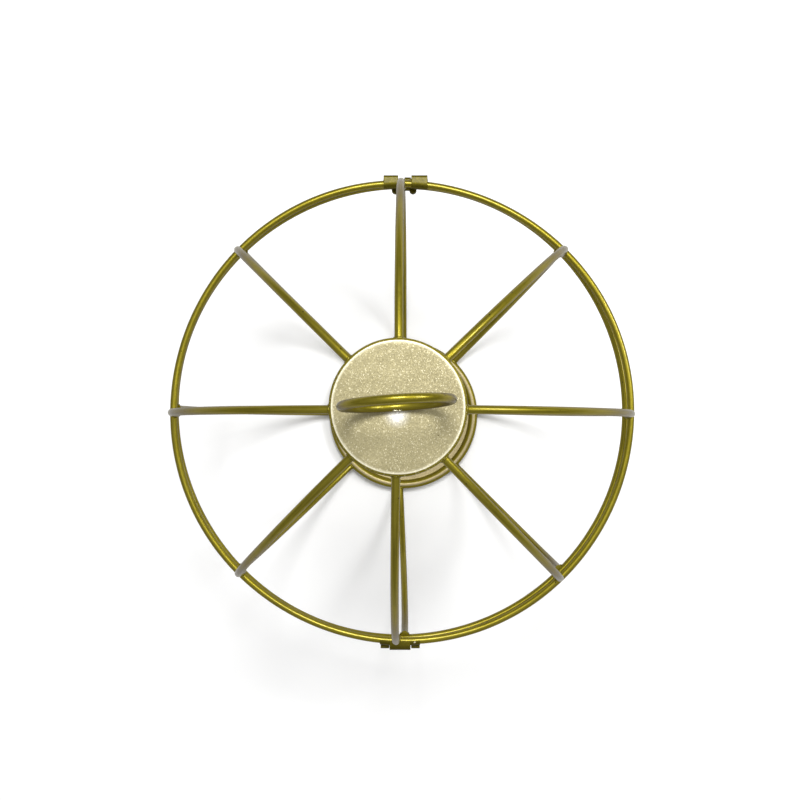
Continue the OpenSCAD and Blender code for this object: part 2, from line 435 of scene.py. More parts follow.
def end_tree(tree, geometry, material):
    """Ends a tree in Realize Instances and Set Material."""
    real = add_node(tree, "GeometryNodeRealizeInstances", {"Geometry": geometry})
    painted = add_node(tree, "GeometryNodeSetMaterial", {"Geometry": real.outputs[0], "Material": material})
    out = tree.nodes.new("NodeGroupOutput")
    tree.links.new(painted.outputs[0], out.inputs[0])


def grow(made, tree, values):
    """Runs a tree on an object: inputs are set by their identifiers, and the result becomes plain mesh."""
    modifier = made.modifiers.new(tree.name, "NODES")
    modifier.node_group = tree
    for item in tree.interface.items_tree:
        if item.in_out == "INPUT" and item.name in values:
            modifier[item.identifier] = values[item.name]
    return settle(made)


def sharp_ends(tree, geometry):
    """Smooth faces, with the edges of the cut ends kept sharp."""
    smooth = add_node(tree, "GeometryNodeSetShadeSmooth", {"Geometry": geometry, "Shade Smooth": True})
    bend = add_node(tree, "GeometryNodeInputMeshEdgeAngle").outputs["Unsigned Angle"]
    steep = add_node(tree, "FunctionNodeCompare", {0: bend, 1: math.radians(50)}, operation="GREATER_THAN")
    inputs = {"Geometry": smooth.outputs[0], "Selection": steep.outputs[0], "Shade Smooth": False}
    return add_node(tree, "GeometryNodeSetShadeSmooth", inputs, domain="EDGE").outputs[0]


def wire_tree():
    """Wire drawn along every path of the mesh. The paths' points hold "swell", the wire's thickness
    as a factor, and "free", how far the point may stray. The wire keeps "wire_co", its own
    unrolled place: across, across and along."""
    inputs = {"Wire radius": "Float", "Sides": "Int", "Waviness": "Float", "Wave scale": "Float"}
    tree, given = new_tree("Wire along paths", {**inputs, "Seed": "Float", "Material": "Material"})
    curve = add_node(tree, "GeometryNodeMeshToCurve", {0: given["Geometry"]}).outputs[0]
    reach = math_of(tree, "MULTIPLY", given["Waviness"], read_point(tree, "free"))
    stray = stray_of(tree, given, given["Wave scale"], 1.0, reach)
    moved = add_node(tree, "GeometryNodeSetPosition", {"Geometry": curve, "Offset": stray}).outputs[0]
    swell = read_point(tree, "swell")
    thick = add_node(tree, "GeometryNodeSetCurveRadius", {"Curve": moved, "Radius": swell}).outputs[0]
    travel = add_node(tree, "GeometryNodeSplineParameter").outputs["Length"]
    marked = keep_point(tree, thick, "along", travel, "FLOAT")
    round_inputs = {"Resolution": given["Sides"], "Radius": given["Wire radius"]}
    circle = add_node(tree, "GeometryNodeCurvePrimitiveCircle", round_inputs).outputs[0]
    profile = keep_point(tree, circle, "around", add_node(tree, "GeometryNodeInputPosition").outputs[0])
    tube_inputs = {"Curve": marked, "Profile Curve": profile, "Fill Caps": True}
    tube = add_node(tree, "GeometryNodeCurveToMesh", tube_inputs).outputs[0]
    around = add_node(tree, "ShaderNodeSeparateXYZ", {0: read_point(tree, "around", "FLOAT_VECTOR")}).outputs
    place = {"X": around["X"], "Y": around["Y"], "Z": read_point(tree, "along")}
    kept = keep_point(tree, tube, "wire_co", add_node(tree, "ShaderNodeCombineXYZ", place).outputs[0])
    end_tree(tree, sharp_ends(tree, kept), given["Material"])
    return tree


def bead_tree():
    """A bead set on every point of the mesh, turned by the point's "turn" and sized by its "size",
    then roughened so that no two beads are alike."""
    inputs = {"Bead": "Object", "Roughness": "Float", "Grain scale": "Float", "Seed": "Float"}
    tree, given = new_tree("Beads on points", {**inputs, "Material": "Material"})
    bead = add_node(tree, "GeometryNodeObjectInfo", {"Object": given["Bead"], "As Instance": True})
    points = add_node(tree, "GeometryNodeMeshToPoints", {"Mesh": given["Geometry"]})
    set_out = {
        "Points": points.outputs[0],
        "Instance": bead.outputs["Geometry"],
        "Rotation": read_point(tree, "turn", "FLOAT_VECTOR"),
        "Scale": read_point(tree, "size", "FLOAT_VECTOR"),
    }
    beads = add_node(tree, "GeometryNodeInstanceOnPoints", set_out).outputs[0]
    real = add_node(tree, "GeometryNodeRealizeInstances", {"Geometry": beads}).outputs[0]
    lump = stray_of(tree, given, given["Grain scale"], 2.0, given["Roughness"])
    rough = add_node(tree, "GeometryNodeSetPosition", {"Geometry": real, "Offset": lump}).outputs[0]
    smooth = add_node(tree, "GeometryNodeSetShadeSmooth", {"Geometry": rough, "Shade Smooth": True})
    end_tree(tree, smooth.outputs[0], given["Material"])
    return tree


def marked_object(name, rows, edges, kind, marks):
    """An object of points and edges. A row holds a point's place, then its value for each mark."""
    mesh = bpy.data.meshes.new(name)
    mesh.from_pydata([tuple(row[0]) for row in rows], edges, [])
    for column, label in enumerate(marks, 1):
        values = np.array([row[column] for row in rows], np.float32).ravel()
        field = "value" if kind == "FLOAT" else "vector"
        mesh.attributes.new(label, kind, "POINT").data.foreach_set(field, values)
    return new_object(name, mesh)


def path_object(name, paths, closed=False):
    """Paths for the wire tree. A path is a list of (point, swell, free)."""
    rows, edges = [], []
    for path in paths:
        start = len(rows)
        rows += path
        edges += [(start + i, start + i + 1) for i in range(len(path) - 1)]
        if closed:
            edges.append((len(rows) - 1, start))
    return marked_object(name, rows, edges, "FLOAT", ("swell", "free"))


# ---- materials ----


Paint = namedtuple(
    "Paint",
    "tone flake metallic roughness sparkle flake_size peel coat sheen sides streaks burnt",
    defaults=(0.25 * MM, 0.012 * MM, 0.0, 0.0, None, False, False),
)
# What is sprayed on: the names of its colours, and its flakes' and its orange peel's sizes in metres.
PAINTS = {
    # gold on drawn wire
    "wire_paint": Paint("wire", "shine", 0.88, 0.36, 0.1, coat=0.4, sheen=0.05, streaks=True),
    # champagne with fine flakes where the cap faces up, painted light from overhead on the same gold;
    # plain gold on its sides; a painted highlight on its edge and a painted glint by the loop's foot
    "plate_paint": Paint("plate", "flake", 0.5, 0.45, 0.38, 0.26 * MM, coat=0.1, sides="wire", burnt=True),
    # tan where the dish faces up, painted light from overhead on the same gold; plain gold on its rim and
    # sides
    "dish_paint": Paint("dish", "flake", 0.6, 0.45, 0.15, 0.26 * MM, coat=0.1, sides="wire"),
    # gold on the sheet of the hinge and the latch
    "leaf_paint": Paint("leaf", "shine", 0.8, 0.5, 0.15, peel=0.015 * MM, coat=0.15),
    # the wires' gold, thicker and lumpier, over a weld
    "weld_paint": Paint("wire", "shine", 0.9, 0.36, 0.15, peel=0.03 * MM, coat=0.4),
    # no paint at all on the solder; its two slivers on the loop's wire are a painted highlight
    "solder": Paint("solder", "flake", 1.0, 0.3, 0.1, peel=0.03 * MM),
    # the leaves' gold, rubbed by them
    "pin_paint": Paint("leaf", "shine", 1.0, 0.3, 0.2, peel=0.01 * MM, coat=0.3),
}
# Features a metre of the paint's cloudy patches, drawn lines, pits, roughness and orange peel.
PATCHES, DRAWN_LINES, PITS, GRAIN, PEEL = 70, 2600, 160, 900, 520
LINE_STRETCH = 0.03
PIT_DEPTH = 0.05 * MM
# A painted glint on the cap by the loop's foot: where it is centred, where it fades from and to, its colour.
GLINT_AT = (CAP_MIDDLE.x - 0.35 * MM, CAP_MIDDLE.y - 2.5 * MM, CAP_HIGH.z)
GLINT_FROM, GLINT_TO = 1.0 * MM, 5.5 * MM
GLINT_COLOUR = (1.0, 0.98, 0.93)


def new_material(name):
    """A material, its tree and its Principled shader. The name's start keeps it apart from the
    frame's own plain paints."""
    made = bpy.data.materials.new("orb_" + name)
    made.use_nodes = True
    tree = made.node_tree
    return made, tree, next(n for n in tree.nodes if n.type == "BSDF_PRINCIPLED")


def noise_of(tree, vector, scale, detail=2.0):
    """A noise texture's factor at that many features a metre."""
    inputs = {"Vector": vector, "Scale": scale, "Detail": detail, "Roughness": 0.5}
    return add_node(tree, "ShaderNodeTexNoise", inputs).outputs[0]


def ramp_of(tree, factor, low, high, start=0.0, end=1.0):
    """Maps a factor between two values to another range, held at its ends."""
    inputs = {"Value": factor, "From Min": low, "From Max": high, "To Min": start, "To Max": end}
    return add_node(tree, "ShaderNodeMapRange", inputs, clamp=True).outputs[0]


def mix_of(tree, factor, first, second):
    """Mixes two colours."""
    inputs = {"Factor": factor}
    for key, value in ((6, first), (7, second)):
        inputs[key] = value if isinstance(value, bpy.types.NodeSocket) else (*value, 1)
    return add_node(tree, "ShaderNodeMix", inputs, data_type="RGBA").outputs[2]


def bump_of(tree, strength, distance, height, normal, invert=False):
    """A normal bumped by a height."""
    inputs = {"Strength": strength, "Distance": distance, "Height": height, "Normal": normal}
    return add_node(tree, "ShaderNodeBump", inputs, invert=invert).outputs[0]


def plate_painted_light(tree, base, here, facing, flake):
    """A plate's colour with a painted highlight where its flat top turns into its rounded edge and a
    painted glint round the loop's foot.
    """
    # A painted highlight: a thin band of flake colour where the flat top starts to round over.
    edge = ramp_of(tree, facing, 0.9997, 0.999, 0.0, 0.8)
    edge_highlight = math_of(tree, "MULTIPLY", edge, ramp_of(tree, facing, 0.965, 0.985))
    base = mix_of(tree, edge_highlight, base, flake)
    # A painted glint, bright near the loop's foot and fading outwards.
    gap = vector_of(tree, "DISTANCE", here, GLINT_AT)
    glint = math_of(tree, "POWER", ramp_of(tree, gap, GLINT_FROM, GLINT_TO, 1.0, 0.0), 2.0)
    return mix_of(tree, glint, base, GLINT_COLOUR)


def metallic_paint(name, context):
    """Sprayed metallic paint: a toned base, flakes that each lie at their own angle, orange peel,
    fine pits, and on drawn wire faint lines along it. Where it has a colour for sides, faces that
    don't look up are that colour, so the lighter tone on faces that look up is painted light from
    overhead. With painted highlights it adds the cap's edge highlight and its glint by the loop's foot."""
    paint, colours = PAINTS[name], context.scene.wire_orb_colours
    tone, flake, dark = getattr(colours, paint.tone), getattr(colours, paint.flake), colours.dark
    made, tree, shader = new_material(name)
    coordinates = add_node(tree, "ShaderNodeTexCoord").outputs
    here = coordinates["Object"]
    # Faces that look up keep the lighter tone, painted light from overhead; the others take the sides'
    # colour.
    if paint.sides:
        facing = add_node(tree, "ShaderNodeSeparateXYZ", {0: coordinates["Normal"]}).outputs["Z"]
        tone = mix_of(tree, ramp_of(tree, facing, 0.9, 0.985), getattr(colours, paint.sides), tone)
    base = mix_of(tree, ramp_of(tree, noise_of(tree, here, PATCHES, 3.0), 0.3, 0.7, 0.0, 0.22), tone, dark)
    if paint.streaks:
        unrolled = add_node(tree, "ShaderNodeAttribute", attribute_name="wire_co").outputs["Vector"]
        drawn = add_node(tree, "ShaderNodeMapping", {"Vector": unrolled, "Scale": (1, 1, LINE_STRETCH)})
        lines = noise_of(tree, drawn.outputs[0], DRAWN_LINES)
        base = mix_of(tree, ramp_of(tree, lines, 0.35, 0.7, 0.0, 0.2), base, flake)
    cells = add_node(tree, "ShaderNodeTexVoronoi", {"Vector": here, "Scale": 1 / paint.flake_size})
    angle = cells.outputs["Color"]
    chance = add_node(tree, "ShaderNodeSeparateColor", {"Color": angle}).outputs
    base = mix_of(tree, ramp_of(tree, chance[0], 0.0, 1.0, 0.0, 0.08 + 0.5 * paint.sparkle), base, dark)
    base = mix_of(tree, ramp_of(tree, chance[1], 0.9, 1.0, 0.0, paint.sparkle), base, flake)
    specks = add_node(tree, "ShaderNodeTexVoronoi", {"Vector": here, "Scale": PITS}).outputs["Distance"]
    pit = ramp_of(tree, specks, 0.03, 0.06, 1.0, 0.0)
    base = mix_of(tree, pit, base, dark)
    # Painted highlights on the cap: the edge band and the glint by the loop's foot.
    if paint.burnt:
        base = plate_painted_light(tree, base, here, facing, flake)
    tree.links.new(base, shader.inputs["Base Color"])
    grain = noise_of(tree, here, GRAIN)
    rough = ramp_of(tree, grain, 0.3, 0.7, paint.roughness - 0.05, paint.roughness + 0.07)
    tree.links.new(rough, shader.inputs["Roughness"])
    normal = add_node(tree, "ShaderNodeNewGeometry").outputs["Normal"]
    lean = vector_of(tree, "SCALE", vector_of(tree, "SUBTRACT", angle, HALF), paint.sparkle * 0.5)
    tilted = vector_of(tree, "NORMALIZE", vector_of(tree, "ADD", normal, lean))
    peeled = bump_of(tree, 1.0, paint.peel, noise_of(tree, here, PEEL, 1.5), tilted)
    tree.links.new(bump_of(tree, 0.6, PIT_DEPTH, pit, peeled, invert=True), shader.inputs["Normal"])
    shader.inputs["Metallic"].default_value = paint.metallic
    shader.inputs["Specular IOR Level"].default_value = 0.5
    shader.inputs["Specular Tint"].default_value = (0.14, 0.12, 0.04, 1)
    shader.inputs["Coat Weight"].default_value = paint.coat
    shader.inputs["Coat Roughness"].default_value = 0.18
    shader.inputs["Sheen Weight"].default_value = paint.sheen
    shader.inputs["Sheen Roughness"].default_value = 0.35
    return made


def floor_paint(context):
    """Matt white studio floor with a barely visible mottle."""
    made, tree, shader = new_material("floor_paint")
    here = add_node(tree, "ShaderNodeTexCoord").outputs["Object"]
    tone = Vector(context.scene.wire_orb_colours.floor)
    mottle = ramp_of(tree, noise_of(tree, here, 9), 0.3, 0.7)
    tree.links.new(mix_of(tree, mottle, tone, tone * 0.985), shader.inputs["Base Color"])
    shader.inputs["Roughness"].default_value = 0.8
    shader.inputs["Specular IOR Level"].default_value = 0.2
    return made


def material(name, context):
    """The named paint, made once."""
    return bpy.data.materials.get("orb_" + name) or metallic_paint(name, context)


def hand_over(made, body, nodes=()):
    """Joins a finished piece to the frame: to its body, and hides the nodes that it stands for."""
    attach(made, body)
    if nodes:
        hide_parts(*nodes)


def dress(made, paint):
    """Gives a piece its one paint."""
    made.data.materials.clear()
    made.data.materials.append(paint)


def sheet_piece(context, name, mesh, body, node):
    """Finishes a piece of bent sheet that stands for one node: its cut edges are rounded."""
    made = round_edges(new_object(name, mesh), context.scene.wire_orb_sizes.edge)
    dress(made, material("leaf_paint", context))
    hand_over(made, body, [node])


def plate_piece(context, name, mesh, paint, body, node):
    """Finishes a pressed round plate that stands for one node."""
    sharpen(mesh)
    made = new_object(name, mesh)
    dress(made, material(paint, context))
    hand_over(made, body, [node])


def draw_wire(context, made, body, changes, nodes=(), paint="wire_paint"):
    """Draws wire along an object's paths and joins it to the frame. changes holds the inputs that
    differ from those of smooth wire as thick as the rings'."""
    values = {
        "Wire radius": WIRE,
        "Sides": context.scene.wire_orb_sizes.wire_sides,
        "Waviness": 0.0,
        "Material": material(paint, context),
    }
    grow(made, wire_tree(), {**values, **changes})
    hand_over(made, body, nodes)


# ---- wires ----


# How many waves a metre a hand-bent rib has, and the steps, the swelling and the width of a ring's seam.
RIB_WAVES = 22.0
RING_STEPS, SEAM_SWELL, SEAM_WIDTH = 360, 0.05, 1.2 * MM


def rib_path(arc, steps):
    """A rib's centreline. It may stray in its middle but not at its two joints."""
    path = []
    for i in range(steps + 1):
        share = i / steps
        angle = arc.low + (arc.high - arc.low) * share
        path.append((on_arc(arc, angle), 1.0, math.sin(math.pi * share)))
    return path


def ring_path(ring, seam, out_of_round):
    """A ring's centreline, with the slight swelling of the butt weld that closes it. out_of_round
    lists the ring's errors of radius: how many times each goes round, its cosine and its sine part."""
    path = []
    for i in range(RING_STEPS):
        turn = FULL * i / RING_STEPS
        gap = abs((turn - seam + math.pi) % FULL - math.pi) * ring.radius
        swell = 1 + SEAM_SWELL * math.exp(-((gap / SEAM_WIDTH) ** 2))
        error = sum(c * math.cos(n * turn) + s * math.sin(n * turn) for n, c, s in out_of_round) * MM
        place = ring.centre + Vector((math.cos(turn), math.sin(turn), 0)) * (ring.radius + error)
        path.append((place, swell, 0.0))
    return path


class WIREORB_OT_ribs(bpy.types.Operator):
    """Draws the ribs of both halves along the arcs of the CAD ribs"""

    bl_idname = "wireorb.ribs"
    bl_label = "Ribs"

    def execute(self, context):
        sizes = context.scene.wire_orb_sizes
        for half, body, seed in (("lower", LOWER_BODY, 1.0), ("upper", UPPER_BODY, 2.0)):
            names = rib_names(half)
            paths = [rib_path(rib_arc(name), sizes.rib_steps) for name in names]
            made = path_object(f"{half}_ribs", paths)
            changes = {"Waviness": sizes.waviness * 2, "Wave scale": RIB_WAVES, "Seed": seed}
            draw_wire(context, made, body, changes, names)
        return {"FINISHED"}


# Each ring's seam, by its angle, and its errors of radius: how many go round, cosine and sine part in mm.
LOWER_RING = (3.6, ((2, -0.2, 0.0), (3, -0.18, 0.08), (4, 0.0, -0.15)))
UPPER_RING = (0.35, ((2, 0.0, -0.18), (4, 0.0, 0.2)))


class WIREORB_OT_rings(bpy.types.Operator):
    """Draws the two equator rings, each closed by a butt weld"""

    bl_idname = "wireorb.rings"
    bl_label = "Rings"

    def execute(self, context):
        rings = (("lower", LOWER_BODY, LOWER, *LOWER_RING), ("upper", UPPER_BODY, UPPER, *UPPER_RING))
        for half, body, ring, seam, out_of_round in rings:
            made = path_object(f"{half}_ring_wire", [ring_path(ring, seam, out_of_round)], closed=True)
            draw_wire(context, made, body, {"Wire radius": ring.wire}, [f"{half}_ring"])
        return {"FINISHED"}


def loop_frame():
    """The hanging loop's centre, its two directions in its own plane and its centreline's radius."""
    points = points_of("hanging_loop")
    middle = points.mean(0)
    normal = Vector(np.linalg.svd(points - middle, full_matrices=False)[2][2])
    rise = (UP - normal * normal.dot(UP)).normalized()
    side = rise.cross(normal)
    if side.x < 0:
        side, normal = -side, -normal
    across, height, depth = (points @ np.array(axis) for axis in (side, rise, normal))
    outer = float(across.max() - across.min()) / 2
    centre = side * middle_of(across) + rise * (height.max() - outer) + normal * middle_of(depth)
    return centre, side, rise, outer - WIRE


# Where the loop's ends meet, in degrees, half of what is left between them, and its steps.
LOOP_ENDS, LOOP_GAP, LOOP_STEPS = -86.4, 0.04 * MM, 180


class WIREORB_OT_loop(bpy.types.Operator):
    """Bends the hanging loop, its ends butted at the foot"""

    bl_idname = "wireorb.loop"
    bl_label = "Hanging loop"

    def execute(self, context):
        centre, side, rise, radius = loop_frame()
        gap_at, gap = math.radians(LOOP_ENDS), LOOP_GAP / radius
        path = []
        for i in range(LOOP_STEPS + 1):
            share = i / LOOP_STEPS
            turn = gap_at + gap + (FULL - 2 * gap) * share
            path.append((centre + radius * (math.cos(turn) * side + math.sin(turn) * rise), 1.0, 0.0))
        made = path_object("hanging_loop_wire", [path])
        sides = context.scene.wire_orb_sizes.wire_sides + 8
        draw_wire(context, made, UPPER_BODY, {"Sides": sides}, ["hanging_loop"])
        return {"FINISHED"}


# ---- cap and dish ----


class WIREORB_OT_cap(bpy.types.Operator):
    """Presses the cap: a flat top, a rounded edge and a short skirt with a rounded lip"""

    bl_idname = "wireorb.cap"
    bl_label = "Cap"

    def execute(self, context):
        t, radius = context.scene.wire_orb_sizes.plate, CAP_RADIUS
        top, foot = CAP_HIGH.z, CAP_LOW.z
        edge = 1.2 * MM
        flat, wall = radius - edge, top - edge - foot
        outer = [(0, top), *[(flat * k / 12, top) for k in range(1, 12)]]
        outer += arc_2d((flat, top - edge), edge, 90, 0, 9)
        outer += [(radius, foot + wall * k / 4) for k in (3, 2, 1)]
        lip = arc_2d((radius - t / 2, foot + t / 2), t / 2, 0, -180, 20)
        inner = [(radius - t, foot + wall * k / 4) for k in (1, 2, 3)]
        inner += arc_2d((flat, top - edge), edge - t, 0, 90, 15)
        inner += [(flat * k / 6, top - t) for k in (5, 4, 3, 2, 1)] + [(0, top - t)]
        mesh = lathe("top_cap_plate", outer + lip + inner, CAP_MIDDLE, 192)
        plate_piece(context, "top_cap_plate", mesh, "plate_paint", UPPER_BODY, "top_cap")
        return {"FINISHED"}


class WIREORB_OT_dish(bpy.types.Operator):
    """Presses the dish: a flat floor, a short wall and a rolled rim"""

    bl_idname = "wireorb.dish"
    bl_label = "Dish"

    def execute(self, context):
        t = 1.0 * MM
        foot, roll = DISH_LOW.z, RIM_RADIUS
        roll_at = (DISH_RADIUS - roll, DISH_HIGH.z - roll)
        wall = DISH_RADIUS - 2 * roll + t / 2
        bend = 1.1 * MM
        path = [(wall * k / 14, foot + t / 2) for k in range(0, 13)]
        path += arc_2d((wall - bend, foot + t / 2 + bend), bend, -90, 0, 12)
        path += arc_2d(roll_at, roll - t / 2, 180, -160, 10)
        left, right = sheet_outline(path, t)
        left[0], right[0] = (0, left[0][1]), (0, right[0][1])
        mesh = lathe("base_dish_plate", right + left[::-1], (DISH_LOW + DISH_HIGH) / 2, 224)
        plate_piece(context, "base_dish_plate", mesh, "dish_paint", LOWER_BODY, "base_dish")
        return {"FINISHED"}


# ---- hinge ----


# A leaf's play on what it is curled round, the rounding of its corner, where its curl and its wrap
# end, and from where to where the knuckle's grip goes, in degrees.
PLAY, LEAF_CORNER = 0.05 * MM, 1.2 * MM
CURL_END, WRAP_END, GRIP = -235, 318, (122, 238)


def leaf_path(sizes, ring, flip):
    """The side view of a hinge leaf, about the pin: the curl round the pin, the outer wall, the plate
    and the wrap round the ring's wire. The second list says how far each point belongs to the ring."""
    t = sizes.sheet
    curl = sizes.pin_radius + PLAY + t / 2
    wrap = ring.wire + t / 2
    ring_in = PIN.y - (ring.centre.y + ring.radius)
    rise = abs(ring.centre.z - PIN.z)
    top = rise + wrap
    corner = LEAF_CORNER - t / 2
    pieces = [
        (arc_2d((0, 0), curl, CURL_END, 0, 12), 0.0),
        (line_2d((curl, 0), (curl, top - corner), 0.5 * MM), 0.0),
        (arc_2d((curl - corner, top - corner), corner, 0, 90, 15), 0.0),
        (line_2d((curl - corner, top), (-ring_in, top), 0.4 * MM), 0.5),
        (arc_2d((-ring_in, rise), wrap, 90, WRAP_END, 12), 1.0),
    ]
    path, belongs = [], []
    for points, share in pieces:
        path += points
        belongs += [share] * len(points)
    return [(u, v * flip) for u, v in path], belongs


def leaf_mesh(name, sizes, ring, span, flip):
    """One hinge leaf, its wrap following the ring's curve."""
    path, belongs = leaf_path(sizes, ring, flip)

    def place(x, point, i):
        return (x, PIN.y + point[0] - sag_of(ring, x) * belongs[i], PIN.z + point[1])

    return sheet_strip(name, path, sizes.sheet, span, place)


def span_of(node):
    """A node's lowest and highest X."""
    low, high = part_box(node)
    return low.x, high.x


class WIREORB_OT_hinge(bpy.types.Operator):
    """Bends the three hinge leaves round the rings and the pin, and peens the pin's heads"""

    bl_idname = "wireorb.hinge"
    bl_label = "Hinge"

    def execute(self, context):
        sizes = context.scene.wire_orb_sizes
        for node in ("hinge_strap_left", "hinge_strap_right"):
            mesh = leaf_mesh(node + "_leaf", sizes, UPPER, span_of(node), 1)
            sheet_piece(context, node + "_leaf", mesh, UPPER_BODY, node)
        self.knuckle(context, sizes)
        self.pin(context, sizes)
        return {"FINISHED"}

    def knuckle(self, context, sizes):
        """The lower half's leaf between the straps, its grip inside the ring and the grip's two ears."""
        points = points_of("hinge_knuckle")
        curl = points[points[:, 2] > PIN.z]
        span = (curl[:, 0].min(), curl[:, 0].max())
        grip = span_of("hinge_knuckle")
        leaf = leaf_mesh("leaf", sizes, LOWER, span, -1)
        wrap = LOWER.wire + sizes.sheet / 2 + PLAY
        path = arc_2d((0, 0), wrap, *GRIP, 9)
        front = LOWER.centre.y + LOWER.radius

        def place(x, point, _):
            return (x, front + point[0] - sag_of(LOWER, x), LOWER.centre.z + point[1])

        strip = sheet_strip("strip", path, sizes.sheet, grip, place)
        ear, half, corner, middle = 1.5 * MM, 1.2 * MM, 0.3 * MM, LOWER.centre.z
        outline = [(0, middle + half), (ear * 0.6, middle + half)]
        outline += arc_2d((ear - corner, middle + half - corner), corner, 90, 0, 15)
        outline += arc_2d((ear - corner, middle - half + corner), corner, 0, -90, 15)
        outline += [(ear * 0.6, middle - half), (0, middle - half)]
        depth = front - LOWER.wire - sizes.sheet
        ears = [lathe("ear", outline, (x, depth), 40) for x in (grip[0] + ear, grip[1] - ear)]
        mesh = joined("knuckle", [leaf, strip, *ears])
        sheet_piece(context, "hinge_knuckle_leaf", mesh, LOWER_BODY, "hinge_knuckle")

    def pin(self, context, sizes):
        """The pin, with a domed head at each end."""
        half = (PIN_HIGH.x - PIN_LOW.x) / 2
        head, head_t, neck = 1.15 * MM, 0.4 * MM, sizes.pin_radius
        crown, under = half - head_t, half - head_t - 0.02 * MM
        dome = [(head * math.cos(a), crown + head_t * math.sin(a)) for a in np.linspace(0, math.pi / 2, 7)]
        upper = [*reversed(dome), (head, under), (neck, under)]
        outline = [(abs(r) if r > 1e-9 else 0, z) for r, z in upper]
        outline += [(r, -z) for r, z in reversed(outline)]
        mesh = lathe("hinge_pin_rod", outline, (0, 0), 32)
        mesh.transform(Matrix.Translation(PIN) @ Matrix.Rotation(math.pi / 2, 4, "Y"))
        sharpen(mesh, 50)
        made = new_object("hinge_pin_rod", mesh)
        dress(made, material("pin_paint", context))
        hand_over(made, UPPER_BODY, ["hinge_pin"])


# ---- latch ----


# From where to where the two sleeves wrap the rings, in degrees from straight out, upwards.
TAB_WRAP, CLIP_WRAP = (-62, 94), (245, 420)
Dent = namedtuple("Dent", "x z radius depth beyond")


class WIREORB_OT_latch(bpy.types.Operator):
    """Bends the latch: a sleeve and a tongue on the upper ring, a sleeve and two cheeks on the lower"""

    bl_idname = "wireorb.latch"
    bl_label = "Latch"

    def execute(self, context):
        sizes = context.scene.wire_orb_sizes
        self.tab(context, sizes)
        self.clip(context, sizes)
        return {"FINISHED"}

    @staticmethod
    def placer(ring, belongs=0.0, dent=None):
        """Places side-view points about the ring's wire at -Y. They follow the ring's curve as far
        as they belong to it."""

        def place(x, point, _):
            reach = ring.radius + point[0] - sag_of(ring, x) * belongs
            spot = Vector((x, ring.centre.y - reach, ring.centre.z + point[1]))
            if dent and point[0] > dent.beyond:
                gap = math.hypot(x - dent.x, spot.z - dent.z) / dent.radius
                if gap < 1:
                    spot.y += dent.depth * (math.cos(gap * math.pi) + 1) / 2
            return spot

        return place

    def sleeve(self, sizes, ring, span, wrap):
        """A sheet sleeve round the ring's wire."""
        path = arc_2d((0, 0), ring.wire + sizes.sheet / 2, *wrap, 10)
        return sheet_strip("sleeve", path, sizes.sheet, span, self.placer(ring, 1.0))

    def tab(self, context, sizes):
        """The upper half's sleeve and its sprung tongue, with a dimple that rubs on the clip."""
        span = span_of("latch_tab")
        points = points_of("latch_tab")
        low = points[points[:, 2] < LOWER.centre.z]
        tongue = (low[:, 0].min(), low[:, 0].max())
        out = -(points[:, 1].min() - UPPER.centre.y) - UPPER.radius
        foot = points[:, 2].min() - UPPER.centre.z
        t = sizes.sheet
        top, face = UPPER.wire + t / 2, out - t / 2
        bend = 2.4 * MM - t / 2
        bend_at = (face - bend, top - bend)
        path = line_2d((-0.3 * MM, top), (bend_at[0], top), 0.3 * MM)
        path += arc_2d(bend_at, bend, 90, 0, 7.5)
        path += line_2d((face, bend_at[1]), (face, foot), 0.3 * MM) + [(face, foot + t / 4)]
        dent = Dent((tongue[0] + tongue[1]) / 2, EQUATOR - 1.4 * MM, 1.9 * MM, 0.55 * MM, out - 2 * t)
        strip = sheet_strip("tongue", path, t, tongue, self.placer(UPPER, dent=dent), step=0.25 * MM)
        mesh = joined("tab", [self.sleeve(sizes, UPPER, span, TAB_WRAP), strip])
        sheet_piece(context, "latch_tab_sheet", mesh, UPPER_BODY, "latch_tab")

    def clip(self, context, sizes):
        """The lower half's sleeve, its back wall and the two folded cheeks beside the tongue."""
        points = points_of("latch_clip")
        span = span_of("latch_clip")
        t = sizes.sheet
        reach = -(points[:, 1].min() - LOWER.centre.y) - LOWER.radius
        top = points[:, 2].max() - LOWER.centre.z
        outer = points[points[:, 1] < points[:, 1].min() + 0.7 * MM]
        middle = (span[0] + span[1]) / 2
        left = outer[outer[:, 0] < middle]
        right = outer[outer[:, 0] > middle]
        foot = -LOWER.wire - t / 2
        wall = 2.4 * MM + t / 2
        bend = 0.6 * MM
        back = line_2d((0, foot), (wall - bend, foot), 0.3 * MM)
        back += arc_2d((wall - bend, foot + bend), bend, -90, 0, 15)
        back += line_2d((wall, foot + bend), (wall, top), 0.4 * MM) + [(wall, top - t / 4)]
        between = (left[:, 0].max() - 0.2 * MM, right[:, 0].min() + 0.2 * MM)
        place = self.placer(LOWER)
        meshes = [self.sleeve(sizes, LOWER, span, CLIP_WRAP), sheet_strip("back", back, t, between, place)]
        face, hem = reach - t / 2, 0.42 * MM
        hem_at = top - t / 2 - hem
        fold = line_2d((0, foot), (face - bend, foot), 0.3 * MM)
        fold += arc_2d((face - bend, foot + bend), bend, -90, 0, 15)
        fold += line_2d((face, foot + bend), (face, hem_at), 0.4 * MM)
        fold += arc_2d((face - hem, hem_at), hem, 0, 180, 20)
        fold += line_2d((face - 2 * hem, hem_at), (face - 2 * hem, foot + 1.2 * MM), 0.4 * MM)
        for block in (left[:, 0], right[:, 0]):
            meshes.append(sheet_strip("cheek", fold, t, (block.min(), block.max()), place))
        sheet_piece(context, "latch_clip_sheet", joined("clip", meshes), LOWER_BODY, "latch_clip")


# ---- welds ----


BUTT_STEPS = 28
# Where a ring weld stops below its rib, in degrees; how far along a rib its foot is looked for and in
# what steps; and how uneven a bead is, over how many features a metre, and how thin it starts.
WELD_END = 212
SEARCH, SEARCH_STEP = 60, 0.05 * MM
UNEVEN, UNEVEN_SCALE = 0.45, 900
THIN, THICKEN = 0.35, 0.22


